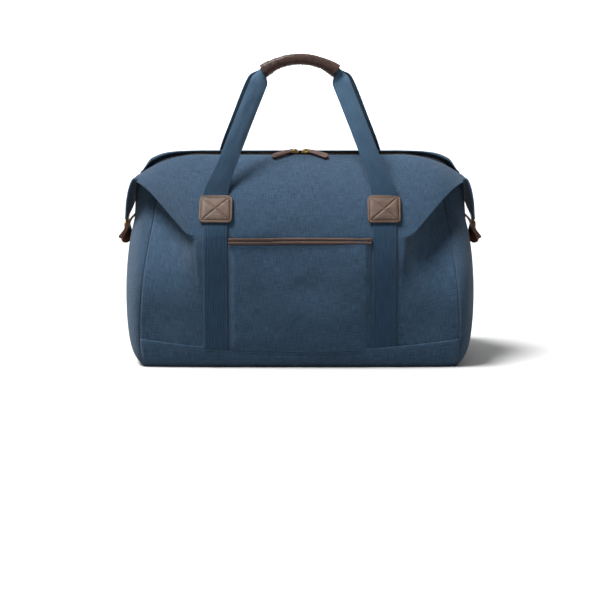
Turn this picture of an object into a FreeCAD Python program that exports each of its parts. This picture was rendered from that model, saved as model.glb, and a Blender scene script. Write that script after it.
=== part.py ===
import FreeCAD, Part
import os
from math import asin, cos, degrees, hypot, radians, sin, sqrt
from FreeCAD import Vector

# A soft canvas weekender bag with leather trim, in millimetres.
# +Z is up, -Y is the front with the slip pocket, and the origin is the middle of the base.

# Body
bag_length = 544.0         # over the bulge of both end panels
bag_depth = 256.0          # front to back at the fullest height
ridge_height = 321.0       # base to the zip
seam_length = bag_length - 66        # between the side seams of the front panel
base_depth = bag_depth - 12          # front to back just above the base
ridge_half_width = 16.0    # half of the flat strip along the zip
shoulder_height = ridge_height - 125  # where the upright faces start to lean in
shoulder_depth = bag_depth - 16
upper_bulge = 13.0         # how far the leaning faces stand off a straight line
wall = 3.0                 # canvas with its facing
base_corner = 12.0

# Ridge line, seen from the front: a straight run, then a round down to the fold
ridge_straight = bag_length / 2 - 122
ridge_round = 170.0
ridge_end = bag_length / 2 - 22

# End of the bag below the fold: in at the throat, out again at the snap tab
fold_height = ridge_height - 42
fold_half_length = bag_length / 2 - 15
fold_lean = 1.8            # how the fold rounds over into the ridge, across and up
fold_rise = 5.6
throat_half_length = bag_length / 2 - 18
throat_height = ridge_height - 77
tab_half_length = bag_length / 2 - 13
tab_height = ridge_height - 109
side_top = tab_height - 62           # top of the end's rounded lower part
side_top_inset = 3.0
side_fullest = 0.6         # share of that height where the end is fullest

# Round between the end panel and the base: where it starts, passes and stops
foot_inset = 34.0
foot_middle_inset = 15.0
foot_middle_rise = 7.0
foot_end_inset = 7.0
foot_end_rise = 26.0
end_panel_rise = 18.0      # end panel carries on above the throat to meet the fold

# Base band
band_middle = 27.0
band_end = 44.0

# Lining and stiffener
lining_gap = 0.5
lining_thickness = 1.0
lining_mouth = 16.0
board_length = seam_length - 38
board_width = base_depth - 38
board_thickness = 3.0
board_corner = 20.0

# Webbing and patches
strap_spacing = 252.0
strap_width = 38.0
strap_thickness = 2.2
patch_width = 50.0
patch_top = ridge_height - 66
patch_bottom = patch_top - 38
strap_foot = 0.5           # sewn straps reach this far below the band's seam
strap_head = 0.5           # and run this far beyond the top of the patch
patch_leather = 2.4
patch_corner = 6.0

# Slip pocket between the front straps
pocket_gap = 9.0
pocket_cloth = 1.6
pocket_bottom = band_middle + 6
pocket_top = shoulder_height - 5
pocket_clear = 0.5
pocket_lip = 0.2           # play between the pocket's cloth and its trim
trim_leather = 1.1
trim_height = 10.0

# Handles
handle_thickness = 2.6
hinge_rise = 3.0           # hinge line above the patch
hinge_clearance = 0.7
grip_radius = 8.8
grip_bore = 6.3
core_radius = 6.0
grip_top = ridge_height + 149
grip_half_chord = 55.0
grip_sagitta = 17.5
grip_gap = 1.4             # between the two grips
leg_taper_start = 0.62     # share of the webbing's rise where it starts to fold
leg_taper_end = 0.9
leg_taper_width = 0.66     # share of its width left there
leg_tuck = 0.3             # gap between the webbing and the grip's core
leg_end_width = 2.6        # of the core's radius
leg_end_thickness = 1.9

# Zip
tape_width = 11.0
tape_thickness = 1.2
tape_drop = 1.0
chain_gap = 1.4            # between the two rows of teeth, for the slider's post
chain_width = 2.3
chain_rise = 0.6
chain_depth = 3.0
slider_length = 14.0
slider_width = 9.0
slider_offset = 8.5        # slider centre from the middle of the zip
slider_plate = 1.8
slider_under_plate = 1.4
slider_flange = 0.9
slider_clearance = 0.4
post_length = 5.0
post_width = 0.6
arch_span = 6.8
arch_height = 3.4
arch_bar = 1.2

# Zip pulls
pull_yaw = 35.0            # how far the pulls lie towards the front
clip_wire = 0.7
clip_width = 10.0
clip_length = 11.0
tab_pull_width = 8.0
tab_pull_leather = 2.4
tab_pull_reach = 44.0
tab_pull_knee = 29.0
tab_pull_drop = 5.0
tab_pull_sink = 0.6        # tab hangs this far under the clip's wire
tab_pull_gap = 0.3
clip_play = 0.2

# Wings and snap tabs
wing_root = 1.8
wing_gap = 1.0             # between the fold and the wing's rolled root
wing_top_width = 88.0
wing_bottom_width = 34.0
wing_taper_drop = 30.0     # the wing keeps its full width this far down
wing_bottom = fold_height - 65
wing_outer_reach = (8.0, 13.0, 17.0)    # beyond the hinge, at two bends and at the foot
wing_outer_drop = (15.0, 43.0)          # below the hinge, at the two bends
wing_inner_reach = (-2.4, -1.2, 10.0)
wing_inner_drop = (17.0, 44.0)
wing_chain_rise = 1.6
end_stop_rise = 2.2
end_stop_extra = 1.4       # end stop stands out past the teeth on each side
layer_top_gap = 15.0       # zip on the wing starts this far below the hinge
layer_bottom_gap = 6.0     # and ends this far above the foot
snap_height = fold_height - 75
end_tab_width = 22.0
tab_leather = 2.2
tab_bend_rise = 8.0        # tabs bend away from each other from here, below the snap
wing_tab_reach = 12.4      # beyond the hinge
wing_tab_gap = 0.2         # below the wing's foot
wing_tab_tip = (9.0, 20.0)              # out and down from the snap
end_tab_tip = (4.0, 28.0)
end_tab_root = (0.6, 8.0)               # in and up from the end panel's upper corner
snap_cap_radius = 6.5
snap_cap_height = 2.0
snap_cap_round = 1.2
snap_post_radius = 2.0
snap_post_height = 1.2
snap_ring = 2.4
snap_play = 0.5
snap_gap = 0.4             # between the closed stud and the wing's tab

reach = 400.0              # longer than any half size of the bag


def save(name, shape):
    shape = shape.removeSplitter()
    os.makedirs("parts", exist_ok=True)
    shape.exportStep("parts/" + name + ".step")
    print(name, len(shape.Solids), shape.isValid(), round(shape.Volume, 1))


def box(x_range, y_range, z_range):
    low = Vector(x_range[0], y_range[0], z_range[0])
    return Part.makeBox(x_range[1] - x_range[0], y_range[1] - y_range[0], z_range[1] - z_range[0], low)


def mirrored(shape, normal):
    return shape.mirror(Vector(0, 0, 0), normal)


def arc(start, middle, end):
    return Part.Arc(start, middle, end).toShape()


def line(start, end):
    return Part.makeLine(start, end)


# ---- outlines -------------------------------------------------------------

def circle_through(first, second, third):
    """Centre and radius of the circle through three (across, up) points."""
    ax, ay = first
    bx, by = second
    cx, cy = third
    turn = 2 * (ax * (by - cy) + bx * (cy - ay) + cx * (ay - by))
    a2, b2, c2 = ax * ax + ay * ay, bx * bx + by * by, cx * cx + cy * cy
    across = (a2 * (by - cy) + b2 * (cy - ay) + c2 * (ay - by)) / turn
    up = (a2 * (cx - bx) + b2 * (ax - cx) + c2 * (bx - ax)) / turn
    return across, up, hypot(ax - across, ay - up)


def upper_face_points():
    shoulder = (shoulder_depth / 2, shoulder_height)
    crest = (ridge_half_width, ridge_height)
    run = hypot(shoulder[0] - crest[0], crest[1] - shoulder[1])
    out_y = (crest[1] - shoulder[1]) / run
    out_z = (shoulder[0] - crest[0]) / run
    middle = ((shoulder[0] + crest[0]) / 2 + out_y * upper_bulge,
              (shoulder[1] + crest[1]) / 2 + out_z * upper_bulge)
    return shoulder, middle, crest


def half_depth(height, grow=0.0):
    """Half the bag's depth on its leaning faces, at a height above the shoulder."""
    across, up, radius = circle_through(*upper_face_points())
    return across + sqrt((radius + grow) ** 2 - (height - up) ** 2)


def side_outline(grow=0.0):
    """The bag's cross-section in the YZ plane, grown outwards by a distance."""
    shoulder, middle, crest = upper_face_points()
    foot = base_depth / 2
    belly = bag_depth / 2
    low = base_corner
    inset = base_corner * (1 - cos(radians(45)))

    def at(y, z):
        return Vector(0, y, z)

    edges = [line(at(-foot + low, 0), at(foot - low, 0)),
             arc(at(foot - low, 0), at(foot - inset, inset), at(foot, low)),
             arc(at(foot, low), at(belly, (low + shoulder[1]) / 2), at(shoulder[0], shoulder[1])),
             arc(at(shoulder[0], shoulder[1]), at(*middle), at(*crest)),
             line(at(*crest), at(-crest[0], crest[1])),
             arc(at(-crest[0], crest[1]), at(-middle[0], middle[1]), at(-shoulder[0], shoulder[1])),
             arc(at(-shoulder[0], shoulder[1]), at(-belly, (low + shoulder[1]) / 2), at(-foot, low)),
             arc(at(-foot, low), at(-foot + inset, inset), at(-foot + low, 0))]
    face = Part.Face(Part.Wire(edges))
    return face.makeOffset2D(grow) if grow else face


def ridge_angle():
    return asin((ridge_end - ridge_straight) / ridge_round)


def ridge_point(angle, grow=0.0, side=1):
    centre_z = ridge_height - ridge_round
    radius = ridge_round + grow
    return Vector(side * (ridge_straight + radius * sin(angle)), 0, centre_z + radius * cos(angle))


def front_outline(grow=0.0):
    """The bag's outline in the XZ plane, grown outwards by a distance."""
    bulge = bag_length / 2
    end = ridge_angle()

    def at(x, z):
        return Vector(x, 0, z)

    def right_edges():
        crest = ridge_point(end)
        foot_end = at(bulge - foot_end_inset, foot_end_rise)
        return [arc(at(bulge - foot_inset, 0), at(bulge - foot_middle_inset, foot_middle_rise), foot_end),
                arc(foot_end, at(bulge, side_top * side_fullest), at(bulge - side_top_inset, side_top)),
                line(at(bulge - side_top_inset, side_top), at(tab_half_length, tab_height)),
                line(at(tab_half_length, tab_height), at(throat_half_length, throat_height)),
                line(at(throat_half_length, throat_height), at(fold_half_length, fold_height)),
                arc(at(fold_half_length, fold_height), at(fold_half_length - fold_lean, fold_height + fold_rise),
                    crest),
                arc(crest, ridge_point(end / 2), ridge_point(0))]

    right = right_edges()
    left = [mirrored(edge, Vector(1, 0, 0)) for edge in right]
    base = line(at(foot_inset - bulge, 0), at(bulge - foot_inset, 0))
    top = line(ridge_point(0), ridge_point(0, side=-1))
    wire = Part.Wire(Part.__sortEdges__([base] + right + [top] + left))
    face = Part.Face(wire)
    return face.makeOffset2D(grow) if grow else face


def plan_outline(grow=0.0):
    """The bag's outline in the XY plane, with bulging ends, grown outwards by a distance."""
    seam = seam_length / 2 + grow
    bulge = bag_length / 2 + grow
    depth = bag_depth / 2 + 1 + grow

    def at(x, y):
        return Vector(x, y, 0)

    edges = [line(at(-seam, -depth), at(seam, -depth)), arc(at(seam, -depth), at(bulge, 0), at(seam, depth)),
             line(at(seam, depth), at(-seam, depth)), arc(at(-seam, depth), at(-bulge, 0), at(-seam, -depth))]
    return Part.Face(Part.Wire(edges))


def side_prism(grow, x_low, x_high):
    face = side_outline(grow)
    face.translate(Vector(x_low, 0, 0))
    return face.extrude(Vector(x_high - x_low, 0, 0))


def body_volume(grow=0.0):
    side = side_prism(grow, -reach, reach)
    front = front_outline(grow)
    front.translate(Vector(0, -reach, 0))
    front = front.extrude(Vector(0, 2 * reach, 0))
    plan = plan_outline(grow)
    plan.translate(Vector(0, 0, -reach / 2))
    plan = plan.extrude(Vector(0, 0, 2 * reach))
    return side.common(front).common(plan)


def ridge_band(top, bottom, y_range):
    """A strip that follows the ridge line, between two offsets from it."""
    end = ridge_angle()
    edges = [line(ridge_point(0, top, -1), ridge_point(0, top)),
             arc(ridge_point(0, top), ridge_point(end / 2, top), ridge_point(end, top)),
             line(ridge_point(end, top), ridge_point(end, bottom)),
             arc(ridge_point(end, bottom), ridge_point(end / 2, bottom), ridge_point(0, bottom)),
             line(ridge_point(0, bottom), ridge_point(0, bottom, -1)),
             arc(ridge_point(0, bottom, -1), ridge_point(end / 2, bottom, -1), ridge_point(end, bottom, -1)),
             line(ridge_point(end, bottom, -1), ridge_point(end, top, -1)),
             arc(ridge_point(end, top, -1), ridge_point(end / 2, top, -1), ridge_point(0, top, -1))]
    face = Part.Face(Part.Wire(edges))
    face.translate(Vector(0, y_range[0], 0))
    return face.extrude(Vector(0, y_range[1] - y_range[0], 0))


def band_seam_height(x):
    half = seam_length / 2
    up, radius = circle_through((-half, band_end), (0, band_middle), (half, band_end))[1:]
    return up - sqrt(radius ** 2 - x ** 2)


def below_band_seam():
    seam = seam_length / 2
    edges = [line(Vector(-seam, -reach, -10), Vector(seam, -reach, -10)),
             line(Vector(seam, -reach, -10), Vector(seam, -reach, band_end)),
             arc(Vector(seam, -reach, band_end), Vector(0, -reach, band_middle), Vector(-seam, -reach, band_end)),
             line(Vector(-seam, -reach, band_end), Vector(-seam, -reach, -10))]
    return Part.Face(Part.Wire(edges)).extrude(Vector(0, 2 * reach, 0))


# ---- canvas body ----------------------------------------------------------

def make_body_panels():
    shell = body_volume().cut(body_volume(-wall))
    seam = seam_length / 2
    end_zone = box((seam, reach), (-reach, reach), (-10, throat_height + end_panel_rise))
    end_zones = end_zone.fuse(mirrored(end_zone, Vector(1, 0, 0)))
    zip_half = tape_width + chain_width + chain_gap / 2
    slot = ridge_band(2, -wall - 1, (-zip_half, zip_half))
    base_zone = below_band_seam()

    save("right_end_panel", shell.common(end_zone))
    save("left_end_panel", shell.common(mirrored(end_zone, Vector(1, 0, 0))))
    save("base_panel", shell.common(base_zone))
    faces = shell.cut(end_zones).cut(slot).cut(base_zone)
    save("front_panel", faces.common(box((-reach, reach), (-reach, 0), (-10, reach))))
    save("rear_panel", faces.common(box((-reach, reach), (0, reach), (-10, reach))))


def make_lining():
    outside = wall + lining_gap
    inside = outside + lining_thickness
    lining = body_volume(-outside).cut(body_volume(-inside))
    mouth = ridge_band(2, -inside - 2, (-lining_mouth / 2, lining_mouth / 2))
    save("lining", lining.cut(mouth))


def make_base_board():
    bottom = wall + 2 * lining_gap + lining_thickness
    half_length, half_width = board_length / 2, board_width / 2
    board = box((-half_length, half_length), (-half_width, half_width), (bottom, bottom + board_thickness))
    uprights = [edge for edge in board.Edges if abs(edge.tangentAt(edge.FirstParameter).z) > 0.9]
    save("base_board", board.makeFillet(board_corner, uprights))


# ---- webbing, patches and pocket -------------------------------------------

def skin(outer, inner, x_range, z_range, side):
    """A layer over the front (side -1) or rear (side 1) face, between two offsets from it."""
    layer = side_prism(outer, *x_range)
    core = side_prism(inner, x_range[0] - 1, x_range[1] + 1)
    y_range = (-reach, -1) if side < 0 else (1, reach)
    return layer.cut(core).common(box(x_range, y_range, z_range))


def make_sewn_straps():
    for face_name, face_side in (("front", -1), ("rear", 1)):
        for name, x_side in (("left", -1), ("right", 1)):
            centre = x_side * strap_spacing / 2
            x_range = (centre - strap_width / 2, centre + strap_width / 2)
            bottom = band_seam_height(strap_spacing / 2 + strap_width / 2) - strap_foot
            z_range = (bottom, patch_top + strap_head)
            strap = skin(strap_thickness, 0, x_range, z_range, face_side)
            save(face_name + "_" + name + "_sewn_strap", strap)
            save(face_name + "_" + name + "_patch", make_patch(centre, face_side).cut(strap))


def make_patch(centre, face_side):
    x_range = (centre - patch_width / 2, centre + patch_width / 2)
    patch = skin(strap_thickness + patch_leather, 0, x_range, (patch_bottom, patch_top), face_side)
    outline = box(x_range, (-reach, reach), (patch_bottom, patch_top))
    along = [edge for edge in outline.Edges if abs(edge.tangentAt(edge.FirstParameter).y) > 0.9]
    return patch.common(outline.makeFillet(patch_corner, along))


def make_pocket():
    half = strap_spacing / 2 - strap_width / 2 - pocket_clear
    outer = pocket_gap + pocket_cloth
    cloth = skin(outer, pocket_gap, (-half, half), (pocket_bottom, pocket_top), -1)
    floor = skin(outer, 0, (-half, half), (pocket_bottom, pocket_bottom + pocket_cloth), -1)
    pocket = cloth.fuse(floor)
    for low in (-half, half - pocket_cloth):
        pocket = pocket.fuse(skin(outer, 0, (low, low + pocket_cloth), (pocket_bottom, pocket_top), -1))
    save("slip_pocket", pocket)

    trim_top = pocket_top + trim_height / 2
    trim_bottom = pocket_top - trim_height / 2
    span = (-half, half)
    trim = skin(outer + trim_leather, outer, span, (trim_bottom, trim_top), -1)
    cap = skin(outer + trim_leather, pocket_gap - trim_leather, span, (pocket_top + pocket_lip, trim_top), -1)
    inside_half = half - pocket_cloth - pocket_lip
    inside_span = (-inside_half, inside_half)
    back = skin(pocket_gap, pocket_gap - trim_leather, inside_span, (trim_bottom, trim_top), -1)
    save("pocket_trim", trim.fuse(cap).fuse(back))


# ---- handles ----------------------------------------------------------------

def hinge_height():
    return patch_top + hinge_rise


def hinge_depth():
    stand_off = strap_thickness + patch_leather + handle_thickness / 2 + hinge_clearance
    return half_depth(hinge_height(), stand_off)


def grip_depth():
    return grip_radius + grip_gap / 2


def grip_arc_radius():
    return (grip_half_chord ** 2 + grip_sagitta ** 2) / (2 * grip_sagitta)


def grip_centre_height():
    return grip_top - grip_radius - grip_arc_radius()


def rectangle(centre, along, across, width, thickness):
    """A closed rectangle square to one direction, with its width along another."""
    along = Vector(along).normalize()
    across = Vector(across) - along * along.dot(Vector(across))
    across.normalize()
    over = along.cross(across)
    half_wide = across * (width / 2)
    half_thick = over * (thickness / 2)
    corners = [centre - half_wide - half_thick, centre + half_wide - half_thick,
               centre + half_wide + half_thick, centre - half_wide + half_thick]
    return Part.makePolygon(corners + corners[:1])


def handle_leg(x_side, y_side):
    """Webbing from the hinge line to the end of the grip, folding in on itself as it rises."""
    root = Vector(x_side * strap_spacing / 2, y_side * hinge_depth(), hinge_height())
    grip_end_angle = asin(grip_half_chord / grip_arc_radius())
    top = Vector(x_side * grip_half_chord, y_side * grip_depth(),
                 grip_centre_height() + grip_arc_radius() * cos(grip_end_angle))
    tangent = Vector(-x_side * cos(grip_end_angle), 0, sin(grip_end_angle))
    top = top - tangent * leg_tuck
    rise = top - root
    across = Vector(1, 0, 0)
    upright = Vector(0, rise.y, rise.z)
    folded_width = strap_width * leg_taper_width
    end_width, end_thickness = core_radius * leg_end_width, core_radius * leg_end_thickness
    sections = [rectangle(root, upright, across, strap_width, handle_thickness),
                rectangle(root + rise * leg_taper_start, rise, across, strap_width - 2, handle_thickness),
                rectangle(root + rise * leg_taper_end, rise, across, folded_width, handle_thickness * 2),
                rectangle(top, tangent, across, end_width, end_thickness)]
    return Part.makeLoft(sections, True, True)


def grip_rod(radius, y):
    """A length of round rod bent along the grip's arc."""
    centre = Vector(0, y, grip_centre_height())
    angle = degrees(asin(grip_half_chord / grip_arc_radius()))
    at = centre + Vector(0, 0, grip_arc_radius())
    face = Part.Face(Part.Wire(Part.makeCircle(radius, at, Vector(1, 0, 0))))
    face.rotate(centre, Vector(0, 1, 0), -angle)
    return face.revolve(centre, Vector(0, 1, 0), 2 * angle)


def make_handles():
    for name, y_side in (("front", -1), ("rear", 1)):
        y = y_side * grip_depth()
        save(name + "_handle_left_strap", handle_leg(-1, y_side))
        save(name + "_handle_right_strap", handle_leg(1, y_side))
        save(name + "_grip_webbing", grip_rod(core_radius, y))
        save(name + "_grip", grip_rod(grip_radius, y).cut(grip_rod(grip_bore, y)))


# ---- zip ---------------------------------------------------------------------

def make_zip():
    inner = chain_gap / 2
    outer = inner + chain_width
    for name, side in (("front", -1), ("rear", 1)):
        tape_y = sorted((side * outer, side * (outer + tape_width)))
        chain_y = sorted((side * inner, side * outer))
        save(name + "_zip_tape", ridge_band(-tape_drop, -tape_drop - tape_thickness, tape_y))
        save(name + "_zip_teeth", ridge_band(chain_rise, chain_rise - chain_depth, chain_y))


def arch_base():
    return ridge_height + chain_rise + slider_clearance + slider_plate


def pull_pivot_height():
    return arch_base() + slider_clearance + clip_wire + clip_play


def make_slider(side):
    centre = side * slider_offset
    x_range = (centre - slider_length / 2, centre + slider_length / 2)
    half_width = slider_width / 2
    top_low = ridge_height + chain_rise + slider_clearance
    top = box(x_range, (-half_width, half_width), (top_low, top_low + slider_plate))
    under_high = ridge_height + chain_rise - chain_depth - slider_clearance
    under = box(x_range, (-half_width, half_width), (under_high - slider_under_plate, under_high))
    post_x = (centre - post_length / 2, centre + post_length / 2)
    post = box(post_x, (-post_width / 2, post_width / 2), (under_high, top_low))
    flange_low = ridge_height - tape_drop + slider_clearance
    slider = top.fuse(under).fuse(post)
    for y_side in (-1, 1):
        y_range = sorted((y_side * half_width, y_side * (half_width - slider_flange)))
        slider = slider.fuse(box(x_range, y_range, (flange_low, top_low)))
    arch = box((centre - arch_span / 2, centre + arch_span / 2), (-arch_bar, arch_bar),
               (arch_base(), arch_base() + arch_height))
    eye = box((centre - arch_span / 2 + arch_bar, centre + arch_span / 2 - arch_bar), (-5, 5),
              (arch_base(), arch_base() + arch_height - arch_bar))
    return slider.fuse(arch.cut(eye))


def yawed(shape, side):
    """Turns a pull made along +X so that it points outwards and a little to the front."""
    if side < 0:
        shape = mirrored(shape, Vector(1, 0, 0))
    shape.rotate(Vector(0, 0, 0), Vector(0, 0, 1), -side * pull_yaw)
    shape.translate(Vector(side * slider_offset, 0, pull_pivot_height()))
    return shape


def rod(start, end, radius):
    return Part.makeCylinder(radius, (end - start).Length, start, end - start)


def make_clip():
    """A small wire ring through the slider's arch, that holds the leather tab."""
    half = clip_width / 2 - clip_wire
    near = [Vector(0, -half, 0), Vector(0, half, 0)]
    far = [Vector(clip_length, -half, 0), Vector(clip_length, half, 0)]
    clip = rod(near[0], near[1], clip_wire)
    for start, end in ((far[0], far[1]), (near[0], far[0]), (near[1], far[1])):
        clip = clip.fuse(rod(start, end, clip_wire))
    for corner in near + far:
        clip = clip.fuse(Part.makeSphere(clip_wire, corner))
    return clip


def make_pull_tab():
    """A folded leather tab: it wraps the clip's far bar and lies over the ridge."""
    half = tab_pull_leather / 2
    start = clip_length + clip_wire + tab_pull_gap
    middle = -tab_pull_sink
    end = middle - tab_pull_drop
    profile = [Vector(start, 0, middle + half), Vector(tab_pull_knee, 0, middle + half),
               Vector(tab_pull_reach, 0, end + half), Vector(tab_pull_reach, 0, end - half),
               Vector(tab_pull_knee, 0, middle - half), Vector(start, 0, middle - half)]
    face = Part.Face(Part.makePolygon(profile + profile[:1]))
    face.translate(Vector(0, -tab_pull_width / 2, 0))
    return face.extrude(Vector(0, tab_pull_width, 0))


def make_sliders():
    for name, side in (("left", -1), ("right", 1)):
        save(name + "_slider", make_slider(side))
        save(name + "_pull_clip", yawed(make_clip(), side))
        save(name + "_pull_tab", yawed(make_pull_tab(), side))


# ---- wings and snap tabs ------------------------------------------------------

def prism_xz(points, y_range):
    """A solid with a polygon outline in the XZ plane."""
    corners = [Vector(x, y_range[0], z) for x, z in points]
    face = Part.Face(Part.makePolygon(corners + corners[:1]))
    return face.extrude(Vector(0, y_range[1] - y_range[0], 0))


def wing_hinge():
    return fold_half_length + wing_root + wing_gap, fold_height + wing_gap / 2


def wing_outer():
    """Outer edge of the folded wing from its root to its foot, as (x, z) points."""
    return wing_edge(wing_root, wing_outer_reach, wing_outer_drop)


def wing_inner():
    return wing_edge(-wing_root, wing_inner_reach, wing_inner_drop)


def wing_edge(root, reaches, drops):
    hinge_x, hinge_z = wing_hinge()
    return [(hinge_x + root, hinge_z), (hinge_x + reaches[0], hinge_z - drops[0]),
            (hinge_x + reaches[1], hinge_z - drops[1]), (hinge_x + reaches[2], wing_bottom)]


def make_wing():
    hinge_x, hinge_z = wing_hinge()
    wide = wing_top_width / 2
    cloth = prism_xz(wing_outer() + wing_inner()[::-1], (-wide, wide))
    root = Part.makeCylinder(wing_root, 2 * wide, Vector(hinge_x, -wide, hinge_z), Vector(0, 1, 0))
    narrow = wing_bottom_width / 2
    above, below = hinge_z + 2 * wing_root, wing_bottom - 1
    knee = hinge_z - wing_taper_drop
    corners = [Vector(0, -wide, above), Vector(0, wide, above), Vector(0, wide, knee),
               Vector(0, narrow, below), Vector(0, -narrow, below), Vector(0, -wide, knee)]
    taper = Part.Face(Part.makePolygon(corners + corners[:1])).extrude(Vector(reach, 0, 0))
    return cloth.fuse(root).common(taper)


def wing_layer(low, high, y_half, top_gap, bottom_gap):
    """A layer on the wing's outer face, from below its root to above its foot."""
    hinge_z = wing_hinge()[1]
    edge = wing_outer()[1:]
    inside = [(x + low, z) for x, z in edge]
    outside = [(x + high, z) for x, z in edge]
    layer = prism_xz(inside + outside[::-1], (-y_half, y_half))
    return layer.common(box((0, reach), (-reach, reach), (wing_bottom + bottom_gap, hinge_z - top_gap)))


def tab_plate(points, top, bottom):
    """A leather tab that follows (x, z) points on its inner face, with a rounded lower end."""
    above = top + 5
    outline = points + [(x + tab_leather, z) for x, z in points[::-1]]
    half = end_tab_width / 2
    plate = prism_xz(outline, (-half, half))
    low = bottom + half
    edges = [line(Vector(0, half, above), Vector(0, -half, above)),
             line(Vector(0, -half, above), Vector(0, -half, low)),
             arc(Vector(0, -half, low), Vector(0, 0, bottom), Vector(0, half, low)),
             line(Vector(0, half, low), Vector(0, half, above))]
    return plate.common(Part.Face(Part.Wire(edges)).extrude(Vector(reach, 0, 0)))


def wing_tab_face():
    return wing_hinge()[0] + wing_tab_reach


def end_tab_face():
    return wing_tab_face() - tab_leather - snap_post_height - snap_gap


def make_wing_tab():
    face = wing_tab_face()
    out, down = wing_tab_tip
    points = [(face, wing_bottom - wing_tab_gap), (face, snap_height - tab_bend_rise),
              (face + out, snap_height - down)]
    return tab_plate(points, wing_bottom, snap_height - down)


def make_end_tab():
    face = end_tab_face()
    out, down = end_tab_tip
    root_in, root_up = end_tab_root
    points = [(tab_half_length - root_in, tab_height + root_up), (face, tab_height),
              (face, snap_height - tab_bend_rise), (face + out, snap_height - down)]
    return tab_plate(points, tab_height + root_up, snap_height - down)


def disc(x_low, x_high, radius):
    return Part.makeCylinder(radius, x_high - x_low, Vector(x_low, 0, snap_height), Vector(1, 0, 0))


def make_snap_cap():
    """Cap outside the wing's tab, with the socket ring on its inner side."""
    low = wing_tab_face() + tab_leather
    cap = disc(low, low + snap_cap_height, snap_cap_radius)
    rim = [edge for edge in cap.Edges if edge.Closed and edge.BoundBox.XMin > low + snap_cap_height / 2]
    return cap.makeFillet(snap_cap_round, rim)


def make_snap_socket():
    face = wing_tab_face()
    bore = snap_post_radius + snap_play
    ring = disc(face - snap_post_height, face, bore + snap_ring)
    return ring.cut(disc(face - snap_post_height - 1, face + 1, bore))


def make_snap_stud():
    outer_face = end_tab_face() + tab_leather
    return disc(outer_face, outer_face + snap_post_height, snap_post_radius)


def chain_end():
    """How far above the wing's foot the teeth stop and the end stop begins."""
    return 2 * layer_bottom_gap + 2


def make_ends():
    pieces = {
        "wing": make_wing(),
        "wing_zip_tape": wing_layer(0, tape_thickness, tape_width + chain_width,
                                    layer_top_gap, layer_bottom_gap),
        "wing_zip_teeth": wing_layer(tape_thickness, tape_thickness + wing_chain_rise, chain_width,
                                     layer_top_gap, chain_end()),
        "zip_end_stop": wing_layer(tape_thickness, tape_thickness + end_stop_rise, chain_width + end_stop_extra,
                                   wing_hinge()[1] - wing_bottom - chain_end(), layer_bottom_gap + 1),
        "wing_tab": make_wing_tab(),
        "snap_cap": make_snap_cap(),
        "snap_socket": make_snap_socket(),
        "end_tab": make_end_tab(),
        "snap_stud": make_snap_stud(),
    }
    for name, shape in pieces.items():
        save("right_" + name, shape)
        save("left_" + name, mirrored(shape, Vector(1, 0, 0)))


make_body_panels()
make_lining()
make_base_board()
make_sewn_straps()
make_pocket()
make_handles()
make_zip()
make_sliders()
make_ends()

print("front handle hinge", 0, -hinge_depth(), hinge_height())
print("wing hinge", wing_hinge())
print("pull pivot", slider_offset, pull_pivot_height())
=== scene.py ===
import bpy
import bmesh
from math import asin, atan2, cos, exp, pi, radians, sin, sqrt
from mathutils import Matrix, Vector, noise
from mathutils.bvhtree import BVHTree


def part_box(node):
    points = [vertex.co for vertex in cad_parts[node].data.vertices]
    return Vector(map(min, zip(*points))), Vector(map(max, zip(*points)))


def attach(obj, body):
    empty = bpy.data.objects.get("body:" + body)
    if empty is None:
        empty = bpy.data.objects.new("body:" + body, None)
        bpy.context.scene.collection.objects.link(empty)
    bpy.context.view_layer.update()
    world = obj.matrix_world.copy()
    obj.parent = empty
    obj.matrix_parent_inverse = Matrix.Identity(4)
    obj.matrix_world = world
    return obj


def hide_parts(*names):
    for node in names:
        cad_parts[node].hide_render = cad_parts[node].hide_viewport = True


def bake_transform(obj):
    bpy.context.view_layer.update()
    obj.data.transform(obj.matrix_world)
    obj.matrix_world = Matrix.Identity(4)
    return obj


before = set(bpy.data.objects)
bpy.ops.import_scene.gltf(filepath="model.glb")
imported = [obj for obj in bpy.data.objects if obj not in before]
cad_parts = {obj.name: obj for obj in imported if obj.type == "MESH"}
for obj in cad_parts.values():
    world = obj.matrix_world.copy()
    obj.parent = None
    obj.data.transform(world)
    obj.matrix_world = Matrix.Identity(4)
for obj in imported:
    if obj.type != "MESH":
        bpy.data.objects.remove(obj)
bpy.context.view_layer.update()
print("frame loaded")

# which way each face and each end of the bag looks
faces = (("front", -1), ("rear", 1))
ends = (("left", -1), ("right", 1))


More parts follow.
